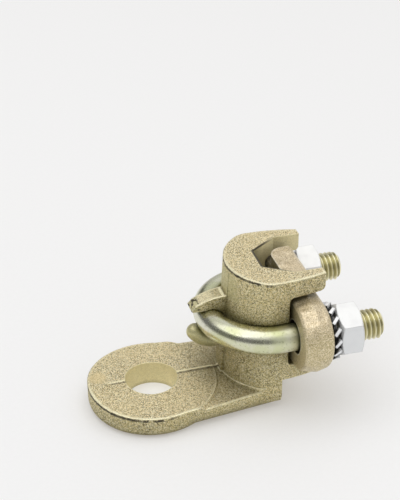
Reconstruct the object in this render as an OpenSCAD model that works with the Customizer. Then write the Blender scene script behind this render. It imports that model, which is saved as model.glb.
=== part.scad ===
// Angled mechanical cable lug: a cast brass palm with an upright clamp column,
// a captive U-bolt, a brass saddle, two toothed lock washers and two hex nuts.
// Millimetres. The palm hole stands on the origin, the column is towards +X, up is +Z.

/* [Palm] */
// Stud hole through the palm
hole_d = 14; // [11:0.5:17]
// Width of the round end of the palm
palm_w = 34; // [31:0.5:38]
// Thickness of the palm on its centre line
palm_t = 7.1; // [6:0.1:8]
// Rounding of the round end's lower edge
palm_edge_r = 2.4; // [1.5:0.1:4]
// Fall of the round end's top from the centre line, degrees
disc_fall = 3; // [1:0.5:4]
// Fall of the neck's top from the centre line, degrees
neck_fall = 5; // [4:0.5:7]
// Rise of the neck's top towards the column, degrees
neck_rise = 2.5; // [1:0.5:3.5]
// How far the raised pad round the hole runs on past the round end, over the neck
pad_past = 0.1; // [0.1:0.1:0.8]
// Step in from the round end to the neck, on each side
neck_step = 0.8; // [0.6:0.1:2.4]
// Rounding of the neck's lower edge
neck_edge_r = 4; // [2:0.1:4.2]
// How far the neck's end stands out past the flat of the cable bed
neck_past_bed = 2.9; // [1:0.1:4]

/* [Column] */
// Distance from the hole to the flat of the cable bed
hole_to_bed = 29.3; // [28:0.1:32]
// Wall behind the flat of the cable bed, at the top
back_wall = 8.8; // [7.5:0.1:9]
// Widest part of the column
column_w = 26.7; // [26:0.1:27.6]
// Height of the column over the contact face
column_h = 38.9; // [37.5:0.1:41]
// Radius of the column's back
back_r = 15.2; // [14.8:0.1:17]
// Lean of the column's back, degrees
back_lean = 2.9; // [1:0.1:3.2]
// Distance from the column's back to its widest place
widest_at = 10.5; // [9.5:0.1:12]
// Radius of the column's flanks, seen from above
flank_r = 45; // [35:1:60]
// Rounding between back and flank
shoulder_r = 6; // [4:0.5:8]
// Height of the upper arms
arm_h = 5; // [4:0.1:5.2]
// Height of the lower arms
low_arm_h = 4.3; // [3.5:0.1:4.8]
// Reach of the arms past the flat of the cable bed
arm_reach = 14.4; // [13:0.1:15]
// Start of the notch past the flat of the cable bed
notch_past_bed = 4.3; // [3:0.1:5]
// Rounding of the notch and of the arm tips
notch_r = 1.3; // [0.5:0.1:2]

/* [Horns] */
// How far the bow's seat stands out behind the column's top
seat_stand = 1; // [0.6:0.1:1.6]
// Height of the upper horn over the U-bolt's level
horn_rise = 7.2; // [6.6:0.1:7.6]
// Radius of the upper horn's top, seen from the side
horn_top_r = 18; // [14:0.5:24]
// Reach of the upper horn past the rod's axis
horn_reach = 5.1; // [4.6:0.1:5.6]
// Clear height from the U-bolt's level to the upper horn's tip
horn_over = 3.4; // [2.6:0.1:3.5]
// Width of the upper horn at the root, and of the rib up the column's back
horn_root_w = 5.2; // [4.6:0.1:6]
// Width of the upper horn at the tip
horn_tip_w = 4; // [3.4:0.1:4.4]
// Radius of the lower horn's underside, seen from the side
horn_low_r = 8.5; // [8.2:0.1:9]
// Thickness of the lower horn, which is round
horn_low_d = 4.4; // [4:0.1:4.8]
// Level of the lower horn's end under the U-bolt
horn_low_drop = 3.9; // [3.4:0.1:4.4]
// Extra lean of the rib up the column's back, degrees
rib_lean = 1; // [0.6:0.1:1.4]

/* [Cable bed] */
// Width of the flat at the bottom of the bed
bed_flat = 8.4; // [7:0.1:10]
// Width of the bed between the arms
bed_w = 18.1; // [17:0.1:18.6]
// Slope of the bed's side walls, degrees from the centre line
bed_slope = 34; // [30:1:40]

/* [U-bolt] */
// Distance between the legs
leg_pitch = 30; // [29.5:0.1:30.6]
// Diameter of the plain rod
rod_d = 7.2; // [6.8:0.1:7.4]
// Diameter of the threaded ends
thread_d = 8; // [7.6:0.1:8.2]
// Length of thread that shows past the nuts
thread_spare = 6.6; // [6.4:0.1:9]
// Length of thread on each leg
thread_l = 17; // [15.5:0.1:17.2]
// Room round the rod in its groove
groove_gap = 0.1; // [0.02:0.01:0.25]

/* [Saddle] */
// Thickness of the ears along the legs
ear_t = 8; // [7.5:0.1:9]
// Half height of the ears round the legs
ear_r = 9.7; // [9:0.1:9.8]
// Fall of the ears' rims from the ridge round their middle, degrees
ear_fall = 12; // [8:1:14]
// Bevel of the ears' edges towards the column
ear_bevel = 0.5; // [0.3:0.1:0.8]
// Rounding of the ears' edges towards the nuts
ear_out_r = 2.2; // [1.6:0.1:3]
// Space between the ears and the notch
ear_gap = 0.9; // [0.8:0.1:2]
// Space between the ears and the upper arms
ear_over = 0.9; // [0.5:0.1:1.2]
// Space between the ears and the lower arms
ear_under = 0.5; // [0.4:0.1:1]
// Room round the leg in the ear
ear_bore_gap = 0.5; // [0.35:0.05:0.8]
// Width of the tongue that presses on the cable
tongue_w = 13.4; // [12:0.1:14]
// Thickness of the tongue
tongue_t = 6.9; // [6.2:0.1:7.2]
// Rounding of the tongue's nose
tongue_r = 4; // [2:0.1:5]
// How far the tongue leads the ears towards the cable
tongue_lead = 0.5; // [0.3:0.1:1]
// How far the tongue stops short of the column's top
tongue_drop = 1.8; // [0.5:0.1:3]
// Bevel on the outer edge of the tongue's ends
tongue_bevel = 1; // [0.5:0.1:1.5]

/* [Hardware] */
// Width across the flats of the nut
nut_af = 13; // [12.5:0.1:14]
// Height of the nut
nut_h = 6.3; // [6:0.1:7]
// Turn of the nuts about their legs, degrees
nut_turn = 55; // [0:1:59]
// Running room between nut and thread
nut_gap = 0.05; // [0.02:0.01:0.09]
// Outer diameter of the toothed washer
washer_od = 15; // [14.4:0.1:15.6]
// Sheet thickness of the washer
washer_t = 0.9; // [0.7:0.05:1.1]
// Room round the thread in the washer
washer_gap = 0.3; // [0.2:0.05:0.4]
// Number of washer teeth
washer_teeth = 15; // [11:1:15]
// Twist of each tooth, degrees
tooth_twist = 45; // [38:1:50]
// Length of each tooth
tooth_l = 1.8; // [1.2:0.1:2.1]
// Width of each tooth
tooth_w = 2.4; // [2:0.05:2.4]
// Room between nut and washer
nut_seat = 0.02; // [0.02:0.01:0.05]

/* [Hidden] */
$fn = 64;
// overlap of solids that join
lap = 0.6;
// overrun of cuts
over = 2;
far = 120;

// side walls of the neck
neck_end_x = hole_to_bed + neck_past_bed;
neck_inset = 0.5;
neck_y1 = column_w / 2 - neck_inset;
palm_r = palm_w / 2;
neck_y0 = palm_r - neck_step;
pad_r = palm_r + pad_past;
neck_x0 = sqrt(palm_r * palm_r - neck_y0 * neck_y0);
neck_taper = atan((neck_y0 - neck_y1) / (neck_end_x - neck_x0));

// raised line left by the mould's joint
seam_w = 1;
seam_h = 0.3;
seam_bury = 0.2;
seam_end = 4.5;
seam_x = seam_end - palm_r;

// column outline: a back arc, two flank arcs and two shoulder arcs
column_back = hole_to_bed - back_wall;
back_c = [column_back + back_r, 0];
flank_c = [column_back + widest_at, column_w / 2 - flank_r];
shoulder_c = crossing(back_c, back_r - shoulder_r, flank_c, flank_r - shoulder_r);
shoulder_a = shoulder_c + unit(shoulder_c - back_c) * shoulder_r;
shoulder_b = shoulder_c + unit(shoulder_c - flank_c) * shoulder_r;
shoulder_swell = 0.03;
rib_sink = 0.2;
foot_w = 0.4;
foot_h = 0.1;
foot_z = palm_t / 3;

// levels of the clamp
notch_x = hole_to_bed + notch_past_bed;
notch_top = column_h - arm_h;
clamp_z = notch_top - ear_over - ear_r;
notch_low = clamp_z - ear_r - ear_under;
arm_low = notch_low - low_arm_h;
arm_x = hole_to_bed + arm_reach;

// bed
bed_wide_x = hole_to_bed + (bed_w - bed_flat) / 2 / tan(bed_slope);

// rod
rod_r = rod_d / 2;
leg_y = leg_pitch / 2;
groove_r = rod_r + groove_gap;
seat_x = column_back - seat_stand;
bow_x = seat_x + leg_y - rod_r;

// saddle and hardware along the legs
ear_x = notch_x + ear_gap;
face_x = ear_x + ear_t;
tongue_x = ear_x - tongue_lead;
tongue_half = column_h - tongue_drop - clamp_z;
tooth_root = 0.2;
washer_h = tooth_w * sin(tooth_twist) + washer_t * cos(tooth_twist);
nut_x = face_x + washer_h + nut_seat;
thread_x = nut_x + nut_h + thread_spare;
thread_bevel = 1;
// share of the nut's flats that its round end face reaches
nut_face = 0.95;

// horns that hold the bow
bow_back_x = bow_x - leg_y;
horn_x = bow_back_x - horn_reach;
horn_root_x = column_back + over;
horn_top_c = [column_back, clamp_z + horn_rise - horn_top_r];
horn_tip_slope = 47;
horn_lip_h = 0.4;
horn_low_in = 1.6;
horn_low_sink = 0.6;
horn_low_x = bow_back_x + horn_low_in;
horn_low_z = clamp_z - horn_low_sink;
horn_low_mid = horn_low_r - horn_low_d / 2;
horn_low_start = 180 + asin((horn_low_drop - horn_low_sink) / horn_low_mid);
horn_low_stop = 300;
horn_low_swell = 0.03;

function unit(v) = v / norm(v);

// crossing point of two circles, on the left of the line from the second to the first
function crossing(c1, r1, c2, r2) =
    let (d = norm(c2 - c1))
    let (a = (r1 * r1 - r2 * r2 + d * d) / (2 * d))
    let (h = sqrt(r1 * r1 - a * a))
    let (u = unit(c2 - c1))
    c1 + u * a + [u[1], -u[0]] * h;

// turns an XY drawing so that it stands in the XZ plane, drawn out along Y
module along_y(length) {
    rotate([90, 0, 0])
        linear_extrude(height = length, center = true)
            children();
}

// turns an XY drawing so that it stands in the YZ plane, drawn out along X
module along_x(length) {
    rotate([90, 0, 90])
        linear_extrude(height = length)
            children();
}

// Palm

// section of the edge: flat below, lower corner rounded by r, wall at x = 0
module edge_section(depth, height, r) {
    translate([-depth, 0])
        square([depth - r, height]);
    translate([-depth, r])
        square([depth, height - r]);
    translate([-r, r])
        circle(r = r);
}

// ridged top: highest on the centre line, falling to both sides, flat floor at z0
module ridged(fall, height, z0, x0, x1) {
    half = palm_r + over;
    translate([x0, 0, 0])
        along_x(x1 - x0)
            polygon([
                [-half, z0],
                [half, z0],
                [half, height - half * tan(fall)],
                [0, height],
                [-half, height - half * tan(fall)]
            ]);
}

module palm_disc() {
    intersection() {
        rotate_extrude()
            intersection() {
                translate([palm_r, 0])
                    edge_section(palm_r + over, palm_t + over, palm_edge_r);
                square([palm_r, palm_t + over]);
            }
        ridged(disc_fall, palm_t, -over, -palm_w, palm_w);
    }
}

// both side walls of the neck, with their rounded lower edges
module neck_plan() {
    intersection_for (m = [0, 1])
        mirror([0, m, 0])
            translate([neck_x0, neck_y0, 0])
                rotate([0, 0, -neck_taper])
                    translate([-palm_w, 0, 0])
                        along_x(palm_w * 3)
                            edge_section(palm_w * 2, palm_t + over, neck_edge_r);
}

module neck_end() {
    translate([neck_end_x, 0, 0])
        along_y(palm_w * 2)
            edge_section(neck_end_x, palm_t + over, neck_edge_r);
}

module neck() {
    intersection() {
        neck_plan();
        neck_end();
        translate([column_back, 0, palm_t])
            rotate([0, -neck_rise, 0])
                translate([-column_back, 0, -palm_t])
                    ridged(neck_fall, palm_t, -2 * over, -over, neck_end_x + over);
    }
    intersection() {
        neck_plan();
        cylinder(r1 = pad_r + palm_t, r2 = pad_r, h = palm_t);
        ridged(disc_fall, palm_t, palm_edge_r, 0, palm_w);
    }
}

// fine line the mould's joint leaves along the top of the palm
module seam() {
    translate([seam_x, 0, palm_t - seam_bury])
        along_x(column_back + lap - seam_x)
            polygon([
                [-seam_w / 2, 0],
                [seam_w / 2, 0],
                [0, seam_h + seam_bury]
            ]);
}

// Column

// outline with the +Y shoulder rounded, grown by g
module column_half(g) {
    difference() {
        intersection() {
            translate(back_c)
                circle(r = back_r + g, $fn = 96);
            translate(flank_c)
                circle(r = flank_r + g, $fn = 240);
        }
        translate(shoulder_a)
            rotate(atan2(shoulder_b[1] - shoulder_a[1], shoulder_b[0] - shoulder_a[0]))
                translate([-shoulder_r, g])
                    square([shoulder_r * 3, shoulder_r * 2]);
    }
    translate(shoulder_c)
        circle(r = shoulder_r + g + shoulder_swell);
}

module column_outline(g) {
    intersection() {
        column_half(g);
        mirror([0, 1])
            column_half(g);
    }
}

// leans a drawing that stands on the column's back about the top of that back
module leaned(angle) {
    translate([column_back, 0, column_h])
        rotate([0, angle, 0])
            translate([-column_back, 0, -column_h - over])
                linear_extrude(height = column_h + 2 * over)
                    children();
}

// the outline drawn out along the leaning back, with the rib
module column_bar(g) {
    leaned(back_lean)
        column_outline(g);
    leaned(back_lean + rib_lean)
        translate([column_back + rib_sink - g, -horn_root_w / 2 - g])
            square([back_wall / 2, horn_root_w + 2 * g]);
}

// side view of the column: spine, foot and the two pairs of arms
module column_side() {
    spine_x = column_back - 2 * over;
    intersection() {
        translate([spine_x, foot_z])
            square([neck_end_x - spine_x, arm_low - foot_z + lap]);
        translate([neck_end_x, 0])
            edge_section(neck_end_x, column_h, neck_edge_r);
    }
    translate([spine_x, arm_low])
        square([notch_x - spine_x, column_h - arm_low]);
    arm_side(notch_top, column_h, 1);
    arm_side(arm_low, notch_low, 0);
    notch_corner(notch_top, -1);
    notch_corner(notch_low, 1);
}

// an arm whose tip is rounded below (low = 1) or above (low = 0)
module arm_side(z0, z1, low) {
    r = notch_r;
    x0 = notch_x - over;
    translate([x0, z0])
        square([arm_x - r - x0, z1 - z0]);
    translate([x0, z0 + low * r])
        square([arm_x - x0, z1 - z0 - r]);
    translate([arm_x - r, low > 0 ? z0 + r : z1 - r])
        circle(r = r);
}

module notch_corner(z, side) {
    r = notch_r;
    difference() {
        translate([notch_x - lap, side > 0 ? z - lap : z - r])
            square([r + lap, r + lap]);
        translate([notch_x + r, z + side * r])
            circle(r = r);
    }
}

// cable bed: half a hexagon, open between the arms
module bed() {
    translate([0, 0, -over])
        linear_extrude(height = column_h + 2 * over)
            polygon([
                [hole_to_bed, -bed_flat / 2],
                [bed_wide_x, -bed_w / 2],
                [arm_x + over, -bed_w / 2],
                [arm_x + over, bed_w / 2],
                [bed_wide_x, bed_w / 2],
                [hole_to_bed, bed_flat / 2]
            ]);
}

module column() {
    intersection() {
        column_bar(0);
        along_y(far)
            column_side();
    }
    intersection() {
        column_bar(foot_w);
        neck_plan();
        translate([column_back - 2 * over, -palm_r, foot_z])
            cube([neck_end_x - column_back + 2 * over, palm_w, palm_t + foot_h - foot_z]);
    }
}

// Horns

// side view of the upper horn: arched top, end sloping back to a thin lip
module horn_side() {
    tip_z = clamp_z + horn_over + horn_lip_h;
    intersection() {
        translate(horn_top_c)
            circle(r = horn_top_r, $fn = 128);
        polygon([
            [horn_root_x, clamp_z],
            [horn_root_x, column_h],
            [horn_x + horn_rise / tan(horn_tip_slope), tip_z + horn_rise],
            [horn_x, tip_z],
            [horn_x + horn_lip_h, clamp_z + horn_over],
            [bow_back_x, clamp_z + horn_over],
            [bow_back_x, clamp_z]
        ]);
    }
}

module upper_horn() {
    tip_x = horn_x - over;
    intersection() {
        along_y(far)
            horn_side();
        linear_extrude(height = column_h)
            polygon([
                [tip_x, -horn_tip_w / 2],
                [horn_root_x, -horn_root_w / 2],
                [horn_root_x, horn_root_w / 2],
                [tip_x, horn_tip_w / 2]
            ]);
    }
}

// the lower horn is a round finger bent up round the bow
module lower_horn() {
    translate([horn_low_x, 0, horn_low_z])
        rotate([90, 0, 0])
            rotate([0, 0, horn_low_start]) {
                rotate_extrude(angle = horn_low_stop - horn_low_start)
                    translate([horn_low_mid, 0])
                        circle(d = horn_low_d);
                translate([horn_low_mid, 0, 0])
                    sphere(d = horn_low_d + horn_low_swell);
            }
}

// U-bolt centre line as a swept circle of radius r, legs up to x1
module rod_sweep(r, x1) {
    translate([bow_x, 0, clamp_z])
        rotate([0, 0, 90])
            rotate_extrude(angle = 180)
                translate([leg_y, 0])
                    circle(r = r);
    for (side = [-1, 1])
        translate([bow_x, side * leg_y, clamp_z])
            rotate([0, 90, 0])
                cylinder(r = r, h = x1 - bow_x);
}

module lug_body() {
    color("#b9a368")
        difference() {
            union() {
                palm_disc();
                neck();
                seam();
                column();
                upper_horn();
                lower_horn();
            }
            translate([0, 0, -over])
                cylinder(d = hole_d, h = palm_t + seam_h + 2 * over);
            bed();
            rod_sweep(groove_r, arm_x);
        }
}

// U-bolt

module u_bolt() {
    start_x = thread_x - thread_l;
    color("#c9c7a0") {
        rod_sweep(rod_r, start_x + lap);
        for (side = [-1, 1])
            translate([start_x, side * leg_y, clamp_z])
                rotate([0, 90, 0])
                    threaded_end();
    }
}

module threaded_end() {
    r = thread_d / 2;
    cylinder(r = r, h = thread_l - thread_bevel);
    translate([0, 0, thread_l - thread_bevel])
        cylinder(r1 = r, r2 = r - thread_bevel, h = thread_bevel);
}

// Saddle

// section of an ear, from the leg's axis outwards: column side below, nut side above
module ear_section() {
    mid = ear_t / 2;
    r = ear_out_r;
    in_r = ear_r - mid * tan(ear_fall);
    n = [cos(ear_fall), sin(ear_fall)];
    corner = [ear_r - (r + (mid - r) * n[1]) / n[0], ear_t - r];
    polygon([
        [0, 0],
        [in_r - ear_bevel, 0],
        [in_r + ear_bevel * tan(ear_fall), ear_bevel],
        [ear_r, mid],
        corner + n * r,
        [corner[0], ear_t],
        [0, ear_t]
    ]);
    translate(corner)
        circle(r = r);
}

module ear(side) {
    translate([ear_x, side * leg_y, clamp_z])
        rotate([0, 90, 0])
            rotate([0, 0, side > 0 ? 0 : 180])
                rotate_extrude(angle = 180)
                    ear_section();
}

module ear_bridge() {
    for (m = [0, 1])
        translate([ear_x, 0, clamp_z])
            mirror([0, 0, m])
                rotate([90, 0, 0])
                    linear_extrude(height = leg_pitch, center = true)
                        rotate(90)
                            mirror([0, 1])
                                ear_section();
}

// the tongue seen from above: straight back, nose rounded at both corners
module tongue_outline() {
    r = tongue_r;
    intersection() {
        translate([0, -tongue_w / 2])
            square([tongue_t, tongue_w]);
        union() {
            translate([r, -tongue_w / 2])
                square([tongue_t, tongue_w]);
            translate([0, r - tongue_w / 2])
                square([tongue_t, tongue_w - 2 * r]);
            for (side = [-1, 1])
                translate([r, side * (tongue_w / 2 - r)])
                    circle(r = r);
        }
    }
}

module tongue() {
    difference() {
        translate([tongue_x, 0, clamp_z - tongue_half])
            linear_extrude(height = 2 * tongue_half)
                tongue_outline();
        for (m = [0, 1])
            translate([tongue_x + tongue_t, 0, clamp_z])
                mirror([0, 0, m])
                    along_y(far)
                        polygon([
                            [-tongue_bevel, tongue_half + over],
                            [-tongue_bevel, tongue_half],
                            [0, tongue_half - tongue_bevel],
                            [over, tongue_half - tongue_bevel],
                            [over, tongue_half + over]
                        ]);
    }
}

module saddle() {
    color("#c4a77c")
        difference() {
            union() {
                ear(1);
                ear(-1);
                ear_bridge();
                tongue();
            }
            for (side = [-1, 1])
                translate([ear_x - over, side * leg_y, clamp_z])
                    rotate([0, 90, 0])
                        cylinder(r = thread_d / 2 + ear_bore_gap, h = ear_t + 2 * over);
        }
}

// Washers and nuts

module toothed_washer(side) {
    root_r = washer_od / 2 - tooth_l;
    translate([face_x + washer_h / 2, side * leg_y, clamp_z])
        rotate([0, 90, 0])
            difference() {
                union() {
                    cylinder(r = root_r + tooth_root, h = washer_t, center = true);
                    intersection() {
                        cylinder(d = washer_od, h = washer_h + over, center = true);
                        for (i = [0 : washer_teeth - 1])
                            rotate([0, 0, i * 360 / washer_teeth])
                                translate([root_r, 0, 0])
                                    rotate([-tooth_twist, 0, 0])
                                        translate([0, -tooth_w / 2, -washer_t / 2])
                                            cube([tooth_l + over, tooth_w, washer_t]);
                    }
                }
                cylinder(d = thread_d + 2 * washer_gap, h = washer_h + over, center = true);
            }
}

module hex_nut(side) {
    corner_r = nut_af / 2 / cos(30);
    flat_r = nut_af / 2 * nut_face;
    bevel = (corner_r - flat_r) * tan(30);
    translate([nut_x, side * leg_y, clamp_z])
        rotate([0, 90, 0])
            rotate([0, 0, nut_turn])
                difference() {
                    intersection() {
                        cylinder(r = corner_r, h = nut_h, $fn = 6);
                        rotate_extrude()
                            polygon([
                                [0, 0],
                                [flat_r, 0],
                                [corner_r, bevel],
                                [corner_r, nut_h - bevel],
                                [flat_r, nut_h],
                                [0, nut_h]
                            ]);
                    }
                    translate([0, 0, -over])
                        cylinder(d = thread_d + 2 * nut_gap, h = nut_h + 2 * over);
                }
}

module front_washer() {
    color("#d9dad6")
        toothed_washer(-1);
}

module rear_washer() {
    color("#d9dad6")
        toothed_washer(1);
}

module front_nut() {
    color("#eef0ee")
        hex_nut(-1);
}

module rear_nut() {
    color("#eef0ee")
        hex_nut(1);
}

lug_body();
u_bolt();
saddle();
front_washer();
rear_washer();
front_nut();
rear_nut();
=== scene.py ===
"""Dresses the angled cable lug: cast brass, plated U-bolt with rolled threads, saddle, nuts and washers."""

import math

import bpy
from mathutils import Matrix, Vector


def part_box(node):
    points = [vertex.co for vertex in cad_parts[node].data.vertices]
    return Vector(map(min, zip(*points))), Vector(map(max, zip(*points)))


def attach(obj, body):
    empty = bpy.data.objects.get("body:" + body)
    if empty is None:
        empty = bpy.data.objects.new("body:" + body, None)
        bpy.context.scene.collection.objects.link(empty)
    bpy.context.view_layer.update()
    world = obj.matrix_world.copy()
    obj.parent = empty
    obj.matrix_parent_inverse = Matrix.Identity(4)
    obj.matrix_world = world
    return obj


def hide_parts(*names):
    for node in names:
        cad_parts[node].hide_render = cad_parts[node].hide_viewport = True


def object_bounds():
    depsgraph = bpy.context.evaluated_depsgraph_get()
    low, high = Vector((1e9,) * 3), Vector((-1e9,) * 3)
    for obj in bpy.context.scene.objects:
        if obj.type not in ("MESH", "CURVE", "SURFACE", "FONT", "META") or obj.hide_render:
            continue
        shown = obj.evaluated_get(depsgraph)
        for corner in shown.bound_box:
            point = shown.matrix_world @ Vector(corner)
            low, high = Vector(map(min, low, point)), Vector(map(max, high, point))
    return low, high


bl_info = {
    "name": "Cable lug",
    "version": (1, 0, 0),
    "blender": (4, 5, 0),
    "location": "View3D > Sidebar > Cable lug",
    "description": "Dresses a cast brass cable lug and sets it on a plain stage",
    "category": "Object",
}

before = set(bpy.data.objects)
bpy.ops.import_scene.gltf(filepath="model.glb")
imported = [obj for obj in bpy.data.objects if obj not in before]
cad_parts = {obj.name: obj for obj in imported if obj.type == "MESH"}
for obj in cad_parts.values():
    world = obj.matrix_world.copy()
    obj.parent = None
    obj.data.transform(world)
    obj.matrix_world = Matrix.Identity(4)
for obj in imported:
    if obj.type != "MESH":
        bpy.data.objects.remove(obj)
cad_box = [list(corner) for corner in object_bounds()]

MM = 0.001

# places read from the frame
BOLT_LOW, BOLT_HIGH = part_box("u_bolt")
BODY_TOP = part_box("lug_body")[1].z
THREAD_R = (BOLT_HIGH.z - BOLT_LOW.z) / 2
BOLT_LEVEL = (BOLT_HIGH.z + BOLT_LOW.z) / 2
LEG_Y = BOLT_HIGH.y - THREAD_R

# sizes of the casting that the finishes keep to, as the solid has them
HOLE_R = 7.0 * MM
PALM_R = 17.0 * MM
PALM_TOP = 7.1 * MM
PALM_TILT = math.radians(3.0)
BED_BACK = 29.3 * MM
BED_HALF = 4.2 * MM
BED_SLOPE = 0.6745
BED_SIDE = 9.05 * MM

# places of the finishes on the casting, and of the painted light and shade on it: a pair fades from none to
# full, or runs from start to stop
SPRUE = (-13.8 * MM, 3.5 * MM, 7.0 * MM)
SPRUE_SPOT = (3.0 * MM, 1.8 * MM)
HORN_SIDES = (3.4 * MM, 3.0 * MM)
HORNS_BACK = (18.2 * MM, 16.0 * MM)
LOWER_HORN = (13.0 * MM, 24.8 * MM)
UPPER_HORN = (25.0 * MM, 25.6 * MM)
HORN_TIP = (13.4 * MM, 12.6 * MM)
HORN_ROOT = (19.0 * MM, 19.75 * MM)
ROOT_LEVEL = (29.8 * MM, 30.1 * MM)
PATCH_BACK = (22.6 * MM, 21.0 * MM)
PATCH_LEVEL = (30.5 * MM, 37.4 * MM)
NECK_SHADE = (7.0 * MM, 18.5 * MM)
UNDER_ROD = (7.4 * MM, 18.5 * MM)
ROD_SHADE = (35.0 * MM, 27.0 * MM)
NEAR_SIDE = (4.0 * MM, -4.0 * MM)
SEAM_LEFT = (-14.0 * MM, -8.0 * MM)
SEAM_RIGHT = (6.5 * MM, 19.0 * MM)
PALM_LINE = (5.0 * MM, -1.0 * MM)
PALM_LINE_WHOLE = (-3.0 * MM, -9.0 * MM)
TOP_LINE = (31.0 * MM, 25.0 * MM)
TOP_LINE_WHOLE = (26.0 * MM, 22.5 * MM)

# the rod is duller beside the saddle, between these places along X
ROD_DULL = (25.0 * MM, 33.0 * MM)
# depth of the thread, as a share of its pitch, and where its flank starts and ends
THREAD_DEPTH = 0.6
THREAD_FLANK = (0.08, 0.82)
# a noise texture spans about a quarter of its range, so a depth is multiplied by this
RELIEF = 4

# the photograph's camera, fitted to the lug
CAMERA_RIGHT = (0.96308227, -0.26904849, -0.00924452)
CAMERA_UP = (0.14436267, 0.48716448, 0.86129564)
CAMERA_AHEAD = (0.22722669, 0.83083312, -0.50802003)
CAMERA_PLACE = (-0.05341464, -0.24586412, 0.19428751)
CAMERA_LENS = 84.344

# the brightest place in the sky, overhead and a little behind the lug, and how the sky fades from it
SKY_SIDE = (0.0, 0.45, 0.893)
SKY_FADE = (-0.35, 0.95)
# wall and room: where the one turns into the other along X, and the heights they fill, as directions
ROOM_SIDE = (0.06, -0.02)
ROOM_HEIGHT = (0.05, 0.6)
# middle of the softbox, and half the width of the floor
KEY_PLACE = (-0.35, -0.1, 1.24)
FLOOR_REACH = 2.0


# Properties


def length(name, description, default):
    return bpy.props.FloatProperty(
        name=name, description=description, default=default, min=0, unit="LENGTH", precision=5
    )


def colour(name, description, default):
    return bpy.props.FloatVectorProperty(
        name=name, description=description, default=default, size=3, min=0, max=1, subtype="COLOR"
    )


def share(name, description, default):
    return bpy.props.FloatProperty(
        name=name, description=description, default=default, min=0, max=1, subtype="FACTOR"
    )


def strength(name, description, default):
    return bpy.props.FloatProperty(name=name, description=description, default=default, min=0)


class LUG_PG_body(bpy.types.PropertyGroup):
    # painted light and shade: the brass takes the Skin colour on faces that look up and the Sides colour on
    # upright ones
    skin: colour("Skin", "Sand-blasted brass that faces up", (0.84, 0.69, 0.375))
    side: colour("Sides", "Sand-blasted brass on the upright faces", (0.87, 0.725, 0.34))
    hollow: colour("Hollows", "Shade of the pits of the grain", (0.08, 0.075, 0.045))
    # painted highlight: the Glints colour paints the tops of the grain pale
    glint: colour("Glints", "Tops of the grain that catch the light", (1.0, 0.94, 0.7))
    # painted shade: the Recesses colour darkens the brass in recesses, creases, on the neck, under the rod
    # and deep in the bed
    recess_shade: colour("Recesses", "Shade of brass that the blasting reached badly", (0.34, 0.34, 0.26))
    # the Worn edges colour is partly wear and partly painted highlight, and also paints the lit crest of the
    # seam and the upper horn's top and root
    worn: colour("Worn edges", "Brass rubbed bright on the corners", (1.0, 0.93, 0.64))
    # painted shade: the Black line colour paints the lines under the edges, round the bed's mouth and on the
    # seam's near side; it also gives the horn tip's black specks
    black_specks_and_shade: colour("Black line", "Scale left under the worn edges", (0.06, 0.05, 0.03))
    green: colour("Green skin", "Skin of the horns and of the column's back", (0.56, 0.53, 0.27))
    smooth: colour("Smooth faces", "Brass in the hole and in the cable bed", (1.0, 0.9, 0.57))
    grain: length("Grain", "Size of a grain of the sand mould", 0.17 * MM)
    depth: length("Grain depth", "Height of the grain", 0.05 * MM)
    edge: length("Edge wear", "Width of the worn corners", 0.4 * MM)
    roughness: share("Roughness", "Roughness of the blasted skin", 0.58)


class LUG_PG_saddle(bpy.types.PropertyGroup):
    # painted light and shade: the brass takes the Skin colour on faces that look up and the Sides colour on
    # upright ones
    skin: colour("Skin", "Tumbled brass that faces up", (0.75, 0.615, 0.4))
    side: colour("Sides", "Tumbled brass on the upright faces", (0.69, 0.575, 0.315))
    hollow: colour("Hollows", "Shade of the pits of the grain", (0.52, 0.49, 0.41))
    # painted highlight: the Glints colour paints the tops of the grain pale
    glint: colour("Glints", "Tops of the grain that catch the light", (0.95, 0.84, 0.63))
    # painted shade: the Recesses colour darkens the brass in recesses and creases
    recess_shade: colour("Recesses", "Shade of brass that the tumbling reached badly", (0.3, 0.31, 0.25))
    # the Worn edges colour is partly wear and partly painted highlight
    worn: colour("Worn edges", "Brass rubbed bright on the corners", (1.0, 0.93, 0.76))
    grain: length("Grain", "Size of a grain of the sand mould", 0.16 * MM)
    depth: length("Grain depth", "Height of the grain", 0.02 * MM)
    dent: length("Dents", "Size of the dents left by tumbling", 3.2 * MM)
    dent_depth: length("Dent depth", "Depth of the dents", 0.1875 * MM)
    edge: length("Edge wear", "Width of the worn corners", 0.5 * MM)
    roughness: share("Roughness", "Roughness of the tumbled skin", 0.36)


class LUG_PG_bolt(bpy.types.PropertyGroup):
    rod_d: length("Rod", "Diameter of the plain rod", 7.2 * MM)
    pitch: length("Pitch", "Pitch of the rolled thread", 1.25 * MM)
    thread_l: length("Thread length", "Length of thread on each leg", 17.0 * MM)
    bevel: length("End bevel", "Bevel on the end of each leg", 1.0 * MM)
    steps: bpy.props.IntProperty(name="Steps", description="Rings along the rod", default=1080, min=200)
    segments: bpy.props.IntProperty(name="Segments", description="Points round the rod", default=48, min=12)
    plate: colour("Plating", "Zinc plating of the rod", (0.765, 0.755, 0.635))
    tint: colour("Tint", "Yellow-green bloom in the plating", (0.62, 0.65, 0.37))
    # painted highlight on the thread's crests and painted shade down in its grooves
    thread: colour("Thread", "Plating on the crests of the thread", (0.95, 0.9, 0.63))
    groove: colour("Groove", "Plating down in the thread", (0.4, 0.365, 0.19))
    shade: colour("Shade", "Shade of the rod where it lies close to the casting", (0.3, 0.31, 0.16))
    # painted shade along the top of the rod, which dims the lamp's highlight
    top_shade: colour("Dust", "Shade of the dust along the top of the rod", (0.5, 0.49, 0.43))
    roughness: share("Roughness", "Roughness of the drawn rod", 0.25)


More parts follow.
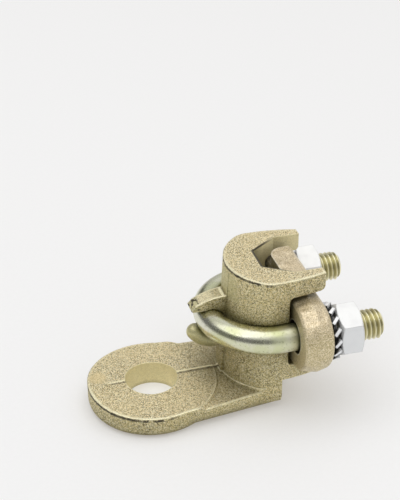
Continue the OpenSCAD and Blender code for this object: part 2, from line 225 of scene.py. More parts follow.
class LUG_PG_zinc(bpy.types.PropertyGroup):
    nut: colour("Nut", "Bright zinc on the nuts", (0.875, 0.875, 0.862))
    washer: colour("Washer", "Bright zinc on the washers", (0.95, 0.95, 0.95))
    stain: colour("Stain", "Grey cloud in the plating", (0.7, 0.7, 0.7))
    # painted shade: the Grime colour goes into creases, between the washer's teeth, and along corners
    crease_shade: colour("Grime", "Black grease between the washer's teeth", (0.03, 0.03, 0.03))
    edge: length("Edge rounding", "Rounding of the corners in the light", 0.25 * MM)
    roughness: share("Roughness", "Roughness of the plating", 0.36)


class LUG_PG_stage(bpy.types.PropertyGroup):
    floor: colour("Floor", "Colour of the floor", (0.87, 0.9, 0.945))
    backdrop: colour("Backdrop", "Colour the floor has in the picture, away from shadows", (0.94, 0.88, 0.8))
    floor_glow: share("Floor glow", "How far the floor's shadows are lifted in the picture", 0.38)
    sky_top: strength("Sky overhead", "Light of the sky overhead and behind", 0.86)
    sky_low: strength("Sky in front", "Light of the sky low down in front", 0.4)
    room: strength("Room", "Light of the dark room over the table's edge, on the left", 0.15)
    wall: strength("Wall", "Light of the pale wall on the right", 0.66)
    key_power: strength("Key light", "Power of the softbox over the lug, in watts", 9.2)
    key_width: length("Key width", "Width of the softbox", 2.0)
    key_depth: length("Key depth", "Depth of the softbox", 1.3)


GROUPS = {
    "lug_body": LUG_PG_body,
    "lug_saddle": LUG_PG_saddle,
    "lug_bolt": LUG_PG_bolt,
    "lug_zinc": LUG_PG_zinc,
    "lug_stage": LUG_PG_stage,
}


# Node helpers, for shader and geometry trees alike


def add(tree, kind, inputs=None, **settings):
    """A node with its settings; inputs maps socket names to numbers or to other sockets."""
    made = tree.nodes.new(kind)
    for name, value in settings.items():
        setattr(made, name, value)
    for name, value in (inputs or {}).items():
        feed(tree, made.inputs[name], value)
    return made


def feed(tree, socket, value):
    if isinstance(value, bpy.types.NodeSocket):
        tree.links.new(value, socket)
    else:
        socket.default_value = value


def calc(tree, operation, first, second=None, clamp=False):
    made = tree.nodes.new("ShaderNodeMath")
    made.operation = operation
    made.use_clamp = clamp
    for socket, value in zip(made.inputs, (first, second)):
        if value is not None:
            feed(tree, socket, value)
    return made.outputs[0]


def product(tree, first, *others):
    """All the values multiplied together."""
    for other in others:
        first = calc(tree, "MULTIPLY", first, other)
    return first


def largest(tree, first, *others):
    """The largest of the values."""
    for other in others:
        first = calc(tree, "MAXIMUM", first, other)
    return first


def vector_calc(tree, operation, first, second=None):
    made = tree.nodes.new("ShaderNodeVectorMath")
    made.operation = operation
    for socket, value in zip(made.inputs, (first, second)):
        if value is not None:
            feed(tree, socket, value)
    return made.outputs["Value"] if operation in {"DOT_PRODUCT", "LENGTH"} else made.outputs["Vector"]


def remap(tree, value, low, high, to_low=0.0, to_high=1.0, smooth=True):
    """Fades from to_low at low to to_high at high, and stays there beyond them."""
    inputs = {"Value": value, "From Min": low, "From Max": high, "To Min": to_low, "To Max": to_high}
    kind = "SMOOTHSTEP" if smooth else "LINEAR"
    return add(tree, "ShaderNodeMapRange", inputs, interpolation_type=kind).outputs["Result"]


def mix_colour(tree, factor, first, second, blend="MIX"):
    made = tree.nodes.new("ShaderNodeMix")
    made.data_type = "RGBA"
    made.blend_type = blend
    made.clamp_factor = True
    for index, value in ((0, factor), (6, first), (7, second)):
        if not isinstance(value, bpy.types.NodeSocket) and index:
            value = (*value, 1.0)
        feed(tree, made.inputs[index], value)
    return made.outputs[2]


def noise(tree, where, scale, detail=2.0, roughness=0.5):
    inputs = {"Vector": where, "Scale": scale, "Detail": detail, "Roughness": roughness}
    return add(tree, "ShaderNodeTexNoise", inputs).outputs["Fac"]


def new_group(name, kind, inputs, outputs):
    """An empty node group with its sockets, and its two end nodes."""
    tree = bpy.data.node_groups.new(name, kind)
    for label, socket, default in inputs:
        made = tree.interface.new_socket(name=label, in_out="INPUT", socket_type=socket)
        if default is not None:
            made.default_value = default
    for label, socket in outputs:
        tree.interface.new_socket(name=label, in_out="OUTPUT", socket_type=socket)
    return tree, tree.nodes.new("NodeGroupInput").outputs, tree.nodes.new("NodeGroupOutput").inputs


def place_group(tree, group, inputs):
    return add(tree, "ShaderNodeGroup", inputs, node_tree=group).outputs


# Shared finishes


def cast_grain_group():
    """Grain of a sand mould: speckle for colour, height for bump, and slow mottling."""
    if "cast_grain" in bpy.data.node_groups:
        return bpy.data.node_groups["cast_grain"]
    tree, given, out = new_group(
        "cast_grain",
        "ShaderNodeTree",
        [("Grain", "NodeSocketFloat", 0.5 * MM), ("Mottle", "NodeSocketFloat", 8 * MM)],
        [("Speckle", "NodeSocketFloat"), ("Height", "NodeSocketFloat"), ("Mottling", "NodeSocketFloat")],
    )
    where = add(tree, "ShaderNodeTexCoord").outputs["Object"]
    fine = calc(tree, "DIVIDE", 1.0, given["Grain"])
    coarse = product(tree, fine, 0.45)
    small = noise(tree, where, fine, 3.0, 0.65)
    large = noise(tree, where, coarse, 2.0, 0.5)
    both = calc(tree, "ADD", product(tree, small, 0.88), product(tree, large, 0.12))
    cells = add(tree, "ShaderNodeTexVoronoi", {"Vector": where, "Scale": fine})
    chance = add(tree, "ShaderNodeSeparateColor", {"Color": cells.outputs["Color"]}).outputs["Red"]
    noisy = remap(tree, both, 0.44, 0.56, smooth=False)
    sand = calc(tree, "ADD", product(tree, chance, 0.7), product(tree, noisy, 0.3))
    slow = noise(tree, where, calc(tree, "DIVIDE", 1.0, given["Mottle"]), 3.0, 0.6)
    tree.links.new(remap(tree, sand, 0.2, 0.8, smooth=False), out["Speckle"])
    tree.links.new(both, out["Height"])
    tree.links.new(remap(tree, slow, 0.32, 0.68), out["Mottling"])
    return tree


def shelter(tree, distance, inside=False):
    """How open a place is out to a distance; inside looks into the metal, which finds its corners."""
    made = add(
        tree,
        "ShaderNodeAmbientOcclusion",
        {"Distance": distance},
        inside=inside,
        only_local=inside,
        samples=8,
    )
    return made.outputs["AO"]


def wear_and_shade_group():
    """Corners and lips rubbed bright, partly as a painted highlight, creases and recesses where shade is
    painted, and rounded corners.
    """
    if "wear_and_shade" in bpy.data.node_groups:
        return bpy.data.node_groups["wear_and_shade"]
    tree, given, out = new_group(
        "wear_and_shade",
        "ShaderNodeTree",
        [
            ("Width", "NodeSocketFloat", 0.4 * MM),
            ("Lip width", "NodeSocketFloat", 0.9 * MM),
            ("Crease width", "NodeSocketFloat", 2.0 * MM),
            ("Recess width", "NodeSocketFloat", 10.0 * MM),
        ],
        [
            ("Corner", "NodeSocketFloat"),
            ("Lip", "NodeSocketFloat"),
            ("Crease", "NodeSocketFloat"),
            ("Recess", "NodeSocketFloat"),
            ("Normal", "NodeSocketVector"),
        ],
    )
    level = remap(tree, facing_up(tree), 0.75, 0.9)
    corner = remap(tree, shelter(tree, given["Width"], inside=True), 0.97, 0.6)
    lip = remap(tree, shelter(tree, given["Lip width"], inside=True), 0.97, 0.8)
    crease = remap(tree, shelter(tree, given["Crease width"]), 0.92, 0.35)
    recess_shade = remap(tree, shelter(tree, given["Recess width"]), 0.95, 0.3, smooth=False)
    rounded = add(tree, "ShaderNodeBevel", {"Radius": given["Width"]}, samples=6).outputs["Normal"]
    for name, value in (
        ("Corner", corner),
        ("Lip", product(tree, lip, level)),
        ("Crease", crease),
        ("Recess", recess_shade),
        ("Normal", rounded),
    ):
        tree.links.new(value, out[name])
    return tree


def new_material(name):
    """A material, its tree and the inputs of its shader."""
    made = bpy.data.materials.new(name)
    made.use_nodes = True
    tree = made.node_tree
    return made, tree, tree.nodes["Principled BSDF"].inputs


def bump(tree, height, depth, normal=None):
    inputs = {"Height": height, "Distance": depth, "Strength": 1.0}
    if normal is not None:
        inputs["Normal"] = normal
    return add(tree, "ShaderNodeBump", inputs).outputs["Normal"]


def facing_up(tree):
    """One on faces that look up, zero on upright ones."""
    normal = add(tree, "ShaderNodeNewGeometry").outputs["Normal"]
    return add(tree, "ShaderNodeSeparateXYZ", {"Vector": normal}).outputs["Z"]


def band(tree, value, start, stop, soft):
    """One between start and stop, fading out over a soft width on both sides."""
    rise = remap(tree, value, start - soft, start + soft)
    fall = remap(tree, value, stop + soft, stop - soft)
    return product(tree, rise, fall)


def cast_skin(tree, look):
    """Masks of the grain and of the worn edges, and the colour of a cast brass skin, with painted light and
    shade by the way each face turns.
    """
    grain = place_group(tree, cast_grain_group(), {"Grain": look.grain, "Mottle": 9 * MM})
    edge = place_group(tree, wear_and_shade_group(), {"Width": look.edge, "Crease width": 2.2 * MM})
    # painted light and shade by the way a face turns
    plain = mix_colour(tree, remap(tree, facing_up(tree), 0.25, 0.85), look.side, look.skin)
    pitted = mix_colour(tree, 1.0, plain, look.hollow, "MULTIPLY")
    low = mix_colour(tree, remap(tree, grain["Speckle"], 0.0, 0.5), pitted, plain)
    # tops of the grain painted pale as glints, a painted highlight
    skin = mix_colour(tree, remap(tree, grain["Speckle"], 0.55, 1.0), low, look.glint)
    mottled = mix_colour(tree, product(tree, grain["Mottling"], 0.25), skin, plain)
    return grain, edge, mottled


def body_places(tree):
    """Object coordinates, whole and split, and the way out from the hole's axis."""
    where = add(tree, "ShaderNodeTexCoord").outputs["Object"]
    split = add(tree, "ShaderNodeSeparateXYZ", {"Vector": where}).outputs
    flat = vector_calc(tree, "MULTIPLY", where, (1.0, 1.0, 0.0))
    return where, split["X"], split["Y"], split["Z"], vector_calc(tree, "LENGTH", flat)


def bed_masks(tree, x, y, z):
    """The cable bed's inside, its rim, the painted shade deep in it, and the dark line of painted shade
    round its mouth.
    """
    opening = product(tree, calc(tree, "SUBTRACT", x, BED_BACK), BED_SLOPE)
    half = calc(tree, "MINIMUM", calc(tree, "ADD", opening, BED_HALF), BED_SIDE)
    past_wall = calc(tree, "SUBTRACT", calc(tree, "ABSOLUTE", y), half)
    back = BED_BACK - 0.2 * MM
    inside = product(tree, remap(tree, past_wall, 0.25 * MM, 0.08 * MM), calc(tree, "GREATER_THAN", x, back))
    rim = product(
        tree,
        remap(tree, x, BED_BACK - 1.7 * MM, BED_BACK - 0.9 * MM),
        remap(tree, past_wall, 1.3 * MM, 0.9 * MM),
    )
    # painted shade deep in the bed
    deep_shade = product(tree, inside, remap(tree, x, BED_BACK + 3.2 * MM, BED_BACK, 0.0, 0.65))
    past_mouth = largest(tree, past_wall, calc(tree, "SUBTRACT", back, x))
    # painted shade: a dark line round the bed's mouth
    mouth = product(
        tree,
        band(tree, past_mouth, -0.25 * MM, 0.4 * MM, 0.1 * MM),
        remap(tree, x, BED_BACK + 8.7 * MM, BED_BACK + 2.7 * MM),
        remap(tree, z, BODY_TOP - 0.6 * MM, BODY_TOP - 0.2 * MM, 0.0, 0.95),
    )
    return inside, rim, deep_shade, mouth


def horn_masks(tree, x, y, z, level):
    """The lower horn, and the upper horn's top, its tip and its root at the column; the top and the root
    take painted light.
    """
    narrow = remap(tree, calc(tree, "ABSOLUTE", y), *HORN_SIDES)
    behind = product(tree, narrow, remap(tree, x, *HORNS_BACK))
    face = remap(tree, level, 0.7, 0.9)
    lower = product(tree, behind, band(tree, z, *LOWER_HORN, 0.4 * MM))
    upper = product(tree, behind, remap(tree, z, *UPPER_HORN))
    tip = product(tree, upper, remap(tree, x, *HORN_TIP))
    root = product(tree, narrow, face, band(tree, x, *HORN_ROOT, 0.15 * MM), remap(tree, z, *ROOT_LEVEL))
    return lower, product(tree, upper, face), tip, root


def seam_lines(tree, x, y, z):
    """Lit crest of the mould's joint along the palm, and the shade on its near side."""
    on_palm = band(tree, z, PALM_TOP - 0.25 * MM, PALM_TOP + 0.5 * MM, 0.1 * MM)
    left = product(tree, remap(tree, x, *SEAM_LEFT), remap(tree, x, 0.0, -1.0 * MM))
    here = product(tree, on_palm, largest(tree, left, band(tree, x, *SEAM_RIGHT, 0.8 * MM)))
    lit = product(tree, here, band(tree, y, 0.0, 0.85 * MM, 0.15 * MM))
    shaded = product(tree, here, band(tree, y, -0.6 * MM, -0.15 * MM, 0.12 * MM))
    return lit, shaded


def shade_under_edges(tree, where, x, y, z, from_axis):
    """Painted shade: a black line just under the top edge of the palm's round end and of the column, broken
    in front.
    """
    ragged = remap(tree, noise(tree, where, 1100.0, 3.0, 0.7), 0.3, 0.7, -0.3 * MM, 0.3 * MM, smooth=False)
    height = calc(tree, "ADD", z, ragged)
    fall = product(tree, calc(tree, "ABSOLUTE", y), math.tan(PALM_TILT))
    under_palm = calc(tree, "SUBTRACT", calc(tree, "SUBTRACT", PALM_TOP, fall), height)
    under_top = calc(tree, "SUBTRACT", BODY_TOP, height)
    broken = remap(tree, noise(tree, where, 420.0, 3.0, 0.6), 0.42, 0.56)
    at_palm = product(
        tree,
        remap(tree, x, *PALM_LINE),
        remap(tree, from_axis, PALM_R - 1.0 * MM, PALM_R - 0.5 * MM),
        band(tree, under_palm, 0.25 * MM, 0.95 * MM, 0.12 * MM),
        largest(tree, broken, remap(tree, x, *PALM_LINE_WHOLE, 0.0, 0.9)),
    )
    at_top = product(
        tree,
        remap(tree, x, *TOP_LINE, 0.25, 1.0),
        band(tree, under_top, 0.2 * MM, 0.75 * MM, 0.12 * MM),
        largest(tree, broken, remap(tree, x, *TOP_LINE_WHOLE, 0.0, 0.9)),
    )
    return product(tree, largest(tree, at_palm, at_top), remap(tree, facing_up(tree), 0.5, 0.2))


def brass_material(look):
    """Sand-blasted brass, smoother in the hole and in the cable bed, bright on worn corners."""
    made, tree, shader = new_material("cast_brass")
    grain, edge, skin = cast_skin(tree, look)
    where, x, y, z, from_axis = body_places(tree)
    level = facing_up(tree)
    in_hole = remap(tree, from_axis, HOLE_R + 0.25 * MM, HOLE_R + 0.05 * MM)
    in_bed, bed_rim, bed_shade, mouth = bed_masks(tree, x, y, z)
    lower_horn, horn_top, horn_tip, horn_root = horn_masks(tree, x, y, z, level)
    machined = product(tree, largest(tree, in_hole, in_bed), 0.8)
    patch = product(tree, remap(tree, x, *PATCH_BACK), band(tree, z, *PATCH_LEVEL, 0.9 * MM))
    from_sprue = vector_calc(tree, "LENGTH", vector_calc(tree, "SUBTRACT", where, SPRUE))

    # colour of each place, laid over the grain
    cloud = remap(tree, noise(tree, where, 240.0, 3.0, 0.6), 0.36, 0.64, 0.0, 0.22)
    skin = mix_colour(tree, machined, skin, mix_colour(tree, cloud, look.smooth, look.green))
    for mask, amount, shade in (
        (patch, 0.5, look.green),
        (remap(tree, from_sprue, *SPRUE_SPOT), 0.6, look.skin),
        (lower_horn, 0.75, look.green),
        # painted light: the upper horn's top painted paler
        (horn_top, 0.35, look.worn),
        (horn_tip, 0.6, look.green),
    ):
        skin = mix_colour(tree, product(tree, mask, amount), skin, shade)

    # painted shade in recesses and creases, painted shadow on the neck and under the rod, and painted shade
    # deep in the bed
    recess_shade_share = calc(tree, "SUBTRACT", 0.8, product(tree, in_hole, 0.65))
    recess_shade_share = calc(tree, "SUBTRACT", recess_shade_share, product(tree, in_bed, 0.5))
    # painted shadow of the column on the neck
    on_neck = product(
        tree,
        remap(tree, x, *NECK_SHADE, 0.0, 0.35),
        remap(tree, z, PALM_TOP + 0.8 * MM, PALM_TOP + 0.3 * MM),
        remap(tree, level, 0.6, 0.9),
    )
    # painted shadow of the rod on the column under it
    under_rod = product(tree, band(tree, z, *UNDER_ROD, 1.0 * MM), remap(tree, x, *ROD_SHADE), 0.22)
    dark = mix_colour(tree, 1.0, skin, look.recess_shade, "MULTIPLY")
    for mask in (
        product(tree, edge["Recess"], recess_shade_share),
        product(tree, edge["Crease"], 0.5),
        largest(tree, on_neck, under_rod, bed_shade),
    ):
        skin = mix_colour(tree, mask, skin, dark)

    # corners and lips rubbed bright, partly wear and partly a painted highlight, most of all on the near
    # side
    near = remap(tree, y, *NEAR_SIDE, 0.3, 1.0)
    corner = product(
        tree,
        edge["Corner"],
        remap(tree, grain["Speckle"], 0.1, 0.6, 0.6, 1.0),
        remap(tree, edge["Recess"], 0.3, 0.1),
        near,
    )
    lip = product(
        tree,
        edge["Lip"],
        remap(tree, from_axis, HOLE_R + 1.4 * MM, HOLE_R + 2.0 * MM),
        remap(tree, noise(tree, where, 500.0, 3.0, 0.6), 0.35, 0.55, 0.5, 1.0),
        near,
    )
    rubbed = product(tree, largest(tree, corner, lip), remap(tree, bed_rim, 0.0, 1.0, 1.0, 0.15))
    # painted highlight along the upper horn's root at the column
    rubbed = largest(tree, rubbed, horn_root)
    skin = mix_colour(tree, rubbed, skin, look.worn)

    # painted shade as black lines under the edges and round the bed's mouth, black specks on the horn's tip,
    # and the mould's seam with a painted lit crest and painted shade on its near side
    specks = product(tree, horn_tip, remap(tree, noise(tree, where, 900.0), 0.52, 0.58))
    lines = product(tree, shade_under_edges(tree, where, x, y, z, from_axis), remap(tree, machined, 0.1, 0.0))
    lit, shaded = seam_lines(tree, x, y, z)
    skin = mix_colour(tree, largest(tree, lines, specks, mouth), skin, look.black_specks_and_shade)
    skin = mix_colour(tree, product(tree, shaded, 0.55), skin, look.black_specks_and_shade)
    skin = mix_colour(tree, product(tree, lit, 0.95), skin, look.worn)
    tree.links.new(skin, shader["Base Color"])

    # gloss, relief and bare metal
    rough = remap(tree, grain["Speckle"], 0.0, 1.0, look.roughness + 0.1, look.roughness - 0.08)
    sleek = largest(tree, product(tree, rubbed, 0.28), product(tree, lower_horn, 0.25))
    tree.links.new(calc(tree, "SUBTRACT", rough, sleek), shader["Roughness"])
    even = largest(tree, machined, lower_horn, product(tree, patch, 0.7))
    height = product(
        tree,
        grain["Height"],
        remap(tree, even, 0.0, 0.8, 1.0, 0.25),
        remap(tree, edge["Corner"], 0.0, 0.6, 1.0, 0.1),
    )
    tree.links.new(bump(tree, height, look.depth * RELIEF, edge["Normal"]), shader["Normal"])
    metal = remap(tree, rubbed, 0.0, 1.0, 0.45, 0.2, smooth=False)
    polished = product(tree, edge["Corner"], remap(tree, bed_rim, 0.0, 1.0, 0.9, 0.0))
    tree.links.new(largest(tree, metal, polished), shader["Metallic"])
    return made


def saddle_material(look):
    """Tumbled brass: pinker and smoother than the body, with shallow dents."""
    made, tree, shader = new_material("saddle_brass")
    grain, edge, skin = cast_skin(tree, look)
    # painted shade in recesses and creases
    dark = mix_colour(tree, 1.0, skin, look.recess_shade, "MULTIPLY")
    skin = mix_colour(tree, product(tree, edge["Recess"], 0.85), skin, dark)
    skin = mix_colour(tree, product(tree, edge["Crease"], 0.4), skin, dark)
    # corners painted bright, partly wear and partly a painted highlight
    skin = mix_colour(tree, product(tree, edge["Corner"], 0.8), skin, look.worn)
    tree.links.new(skin, shader["Base Color"])
    rough = remap(tree, grain["Mottling"], 0.0, 1.0, look.roughness - 0.06, look.roughness + 0.08)
    tree.links.new(rough, shader["Roughness"])
    where = add(tree, "ShaderNodeTexCoord").outputs["Object"]
    dents = noise(tree, where, 1.0 / look.dent, 1.0, 0.4)
    dented = bump(tree, dents, look.dent_depth * RELIEF, edge["Normal"])
    tree.links.new(bump(tree, grain["Height"], look.depth * RELIEF, dented), shader["Normal"])
    shader["Metallic"].default_value = 0.5
    return made


def plating_material(look):
    """Drawn rod with a yellow-green bloom in its zinc, yellower in the rolled thread, whose crests are
    painted bright and grooves dark as painted highlight and shade.
    """
    made, tree, shader = new_material("yellow_zinc")
    where = add(tree, "ShaderNodeTexCoord").outputs["Object"]
    x = add(tree, "ShaderNodeSeparateXYZ", {"Vector": where}).outputs["X"]
    thread = add(tree, "ShaderNodeAttribute", attribute_name="thread").outputs["Fac"]
    groove = add(tree, "ShaderNodeAttribute", attribute_name="groove").outputs["Fac"]
    edge = place_group(tree, wear_and_shade_group(), {"Crease width": 2.2 * MM})
    plain = calc(tree, "SUBTRACT", 1.0, thread)

    # bloom and specks on the plain rod, both stronger beside the saddle
    bloom = remap(tree, noise(tree, where, 130.0, 3.0, 0.55), 0.38, 0.66)
    specks = remap(tree, noise(tree, where, 1500.0, 2.0, 0.6), 0.56, 0.7)
    dull = product(tree, remap(tree, x, *ROD_DULL), plain)
    tinted = calc(tree, "ADD", product(tree, bloom, 0.75), product(tree, dull, 0.25))
    speckled = product(tree, specks, remap(tree, dull, 0.0, 1.0, 0.22, 0.6))
    plate = mix_colour(tree, tinted, look.plate, look.tint)
    plate = mix_colour(tree, speckled, plate, look.shade)
    # painted highlight on the thread's crests and painted shade down in its grooves
    plate = mix_colour(tree, thread, plate, mix_colour(tree, groove, look.thread, look.groove))

    # painted shade along the top, which dims the lamp's highlight, and painted shade close to the casting
    shaded = mix_colour(tree, 1.0, plate, look.shade, "MULTIPLY")
    faded = mix_colour(tree, 1.0, plate, look.top_shade, "MULTIPLY")
    top_shade_mask = product(tree, band(tree, facing_up(tree), 0.72, 0.98, 0.06), 0.52, plain)
    close = product(tree, edge["Crease"], remap(tree, thread, 0.0, 1.0, 1.0, 0.0))
    plate = mix_colour(tree, top_shade_mask, plate, faded)
    tree.links.new(mix_colour(tree, close, plate, shaded), shader["Base Color"])

    rough = look.roughness
    for mask, amount in ((specks, 0.12), (dull, 0.12), (thread, 0.1)):
        rough = calc(tree, "ADD", rough, product(tree, mask, amount))
    tree.links.new(rough, shader["Roughness"])
    drawn = noise(tree, where, 700.0, 3.0, 0.6)
    tree.links.new(bump(tree, drawn, 0.02 * MM), shader["Normal"])
    shader["Metallic"].default_value = 1.0
    return made


def zinc_material(name, plating, crease_shade, look):
    """Bright zinc with rounded corners, a thin grey line of painted shade along them and painted shade in
    its creases.
    """
    made, tree, shader = new_material(name)
    edge = place_group(tree, wear_and_shade_group(), {"Width": look.edge, "Crease width": 1.6 * MM})
    where = add(tree, "ShaderNodeTexCoord").outputs["Object"]
    cloud = remap(tree, noise(tree, where, 420.0, 3.0, 0.6), 0.42, 0.72)
    stained = mix_colour(tree, product(tree, cloud, 0.12), plating, look.stain)
    # painted shade in the creases and as a grey line along the corners
    shaded_creases = product(tree, remap(tree, edge["Crease"], 0.12, 0.6), crease_shade)
    dark = largest(tree, shaded_creases, product(tree, edge["Corner"], 0.4))
    tree.links.new(mix_colour(tree, dark, stained, look.crease_shade), shader["Base Color"])
    rough = remap(tree, cloud, 0.0, 1.0, look.roughness - 0.05, look.roughness + 0.1)
    tree.links.new(rough, shader["Roughness"])
    fine = noise(tree, where, 2600.0, 2.0, 0.5)
    tree.links.new(bump(tree, fine, 0.01 * MM, edge["Normal"]), shader["Normal"])
    shader["Metallic"].default_value = 0.15
    return made


# Pieces


def dress(node, material):
    """Gives a CAD node its finish."""
    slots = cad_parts[node].data.materials
    slots.clear()
    slots.append(material)


def u_bolt_tree():
    """Sweeps a rod along the U and presses a thread into both of its ends."""
    tree, given, out = new_group(
        "u_bolt_sweep",
        "GeometryNodeTree",
        [
            ("Leg end", "NodeSocketFloat", None),
            ("Bow centre", "NodeSocketFloat", None),
            ("Half spacing", "NodeSocketFloat", None),
            ("Level", "NodeSocketFloat", None),
            ("Rod radius", "NodeSocketFloat", None),
            ("Thread radius", "NodeSocketFloat", None),
            ("Thread length", "NodeSocketFloat", None),
            ("Pitch", "NodeSocketFloat", None),
            ("End bevel", "NodeSocketFloat", None),
            ("Steps", "NodeSocketInt", None),
            ("Segments", "NodeSocketInt", None),
            ("Material", "NodeSocketMaterial", None),
        ],
        [("Geometry", "NodeSocketGeometry")],
    )
    tree.is_modifier = True
    half = given["Half spacing"]
    leg = calc(tree, "SUBTRACT", given["Leg end"], given["Bow centre"])
    bend = product(tree, half, math.pi)
    total = calc(tree, "ADD", product(tree, leg, 2.0), bend)

    # way along the centre line: down one leg, round the bow, up the other
    index = add(tree, "GeometryNodeInputIndex").outputs[0]
    last = calc(tree, "SUBTRACT", given["Steps"], 1.0)
    way = product(tree, calc(tree, "DIVIDE", index, last), total)
    down = calc(tree, "MINIMUM", way, leg)
    past_leg = calc(tree, "SUBTRACT", way, leg)
    round_bow = calc(tree, "MINIMUM", largest(tree, past_leg, 0.0), bend)
    up = largest(tree, calc(tree, "SUBTRACT", past_leg, bend), 0.0)
    turn = calc(tree, "DIVIDE", round_bow, half)
    reach = product(tree, calc(tree, "SINE", turn), half)
    x = calc(
        tree,
        "ADD",
        calc(tree, "SUBTRACT", calc(tree, "SUBTRACT", given["Leg end"], down), reach),
        up,
    )
    y = product(tree, calc(tree, "COSINE", turn), half, -1.0)
    centre = add(tree, "ShaderNodeCombineXYZ", {"X": x, "Y": y, "Z": given["Level"]}).outputs[0]
    line = add(tree, "GeometryNodeMeshLine", {"Count": given["Steps"], "Offset": (0.0, 0.0, 0.0)})
    points = keep(tree, line.outputs["Mesh"], "way", way)
    points = keep(tree, points, "centre", centre, "FLOAT_VECTOR")
    placed = add(tree, "GeometryNodeSetPosition", {"Geometry": points, "Position": centre})
    path = add(tree, "GeometryNodeMeshToCurve", {"Mesh": placed.outputs["Geometry"]})
    upright = add(tree, "GeometryNodeSetCurveNormal", {"Curve": path.outputs["Curve"]}, mode="Z_UP")

    # round section, each of its points knows its share of a turn
    ring = add(
        tree,
        "GeometryNodeCurvePrimitiveCircle",
        {"Resolution": given["Segments"], "Radius": given["Rod radius"]},
    )
    section = keep(tree, ring.outputs["Curve"], "turn", calc(tree, "DIVIDE", index, given["Segments"]))
    swept = add(
        tree,
        "GeometryNodeCurveToMesh",
        {"Curve": upright.outputs["Curve"], "Profile Curve": section, "Fill Caps": True},
    )

    # radius: plain rod, thread on both ends, bevel on the very ends
    way_here = named(tree, "way", "FLOAT")
    to_end = calc(tree, "MINIMUM", way_here, calc(tree, "SUBTRACT", total, way_here))
    turns = calc(tree, "DIVIDE", way_here, given["Pitch"])
    saw = calc(tree, "FRACT", calc(tree, "SUBTRACT", turns, named(tree, "turn", "FLOAT")))
    flank = calc(tree, "ABSOLUTE", calc(tree, "SUBTRACT", product(tree, saw, 2.0), 1.0))
    groove = remap(tree, flank, *THREAD_FLANK, smooth=False)
    cut = calc(tree, "SUBTRACT", given["Thread radius"], product(tree, given["Pitch"], THREAD_DEPTH, groove))
    run_out = calc(tree, "SUBTRACT", given["Thread length"], given["Pitch"])
    threaded = remap(tree, to_end, given["Thread length"], run_out)
    radius = calc(
        tree,
        "ADD",
        given["Rod radius"],
        product(tree, threaded, calc(tree, "SUBTRACT", cut, given["Rod radius"])),
    )
    tip = calc(tree, "ADD", calc(tree, "SUBTRACT", given["Thread radius"], given["End bevel"]), to_end)
    radius = calc(tree, "MINIMUM", radius, tip)
    middle = named(tree, "centre", "FLOAT_VECTOR")
    position = add(tree, "GeometryNodeInputPosition").outputs[0]
    outwards = vector_calc(tree, "NORMALIZE", vector_calc(tree, "SUBTRACT", position, middle))
    scaled = add(tree, "ShaderNodeVectorMath", {"Vector": outwards, "Scale": radius}, operation="SCALE")
    pressed = add(
        tree,
        "GeometryNodeSetPosition",
        {
            "Geometry": swept.outputs["Mesh"],
            "Position": vector_calc(tree, "ADD", middle, scaled.outputs[0]),
        },
    )
    marked = keep(tree, pressed.outputs["Geometry"], "thread", threaded)
    marked = keep(tree, marked, "groove", groove)
    smooth = add(tree, "GeometryNodeSetShadeSmooth", {"Geometry": marked})
    real = add(tree, "GeometryNodeRealizeInstances", {"Geometry": smooth.outputs["Geometry"]})
    finished = add(
        tree,
        "GeometryNodeSetMaterial",
        {"Geometry": real.outputs["Geometry"], "Material": given["Material"]},
    )
    tree.links.new(finished.outputs["Geometry"], out["Geometry"])
    return tree


def keep(tree, geometry, name, value, kind="FLOAT"):
    """Stores a value on the points under a name."""
    made = add(
        tree,
        "GeometryNodeStoreNamedAttribute",
        {"Geometry": geometry, "Name": name, "Value": value},
        data_type=kind,
        domain="POINT",
    )
    return made.outputs["Geometry"]


def named(tree, name, kind):
    """Reads what keep stored."""
    made = add(tree, "GeometryNodeInputNamedAttribute", {"Name": name}, data_type=kind)
    return made.outputs["Attribute"]


def grow(name, tree, values):
    """Runs a geometry tree with its named inputs and returns its result as a plain mesh object."""
    carrier = bpy.data.objects.new(name + "_carrier", bpy.data.meshes.new(name + "_carrier"))
    bpy.context.scene.collection.objects.link(carrier)
    modifier = carrier.modifiers.new(name, "NODES")
    modifier.node_group = tree
    for item in tree.interface.items_tree:
        if item.item_type == "SOCKET" and item.in_out == "INPUT":
            modifier[item.identifier] = values[item.name]
    evaluated = carrier.evaluated_get(bpy.context.evaluated_depsgraph_get())
    mesh = bpy.data.meshes.new_from_object(evaluated)
    mesh.name = name
    carrier.modifiers.clear()
    bpy.data.objects.remove(carrier)
    if not mesh.polygons:
        raise RuntimeError(name + " came out empty")
    made = bpy.data.objects.new(name, mesh)
    bpy.context.scene.collection.objects.link(made)
    return made


# Operators


class LUG_OT_cast_body(bpy.types.Operator):
    """Finish the cast brass body"""

    bl_idname = "lug.cast_body"
    bl_label = "Cast body"

    def execute(self, context):
        dress("lug_body", brass_material(context.scene.lug_body))
        return {"FINISHED"}


class LUG_OT_saddle(bpy.types.Operator):
    """Finish the brass saddle"""

    bl_idname = "lug.saddle"
    bl_label = "Saddle"

    def execute(self, context):
        dress("saddle", saddle_material(context.scene.lug_saddle))
        return {"FINISHED"}


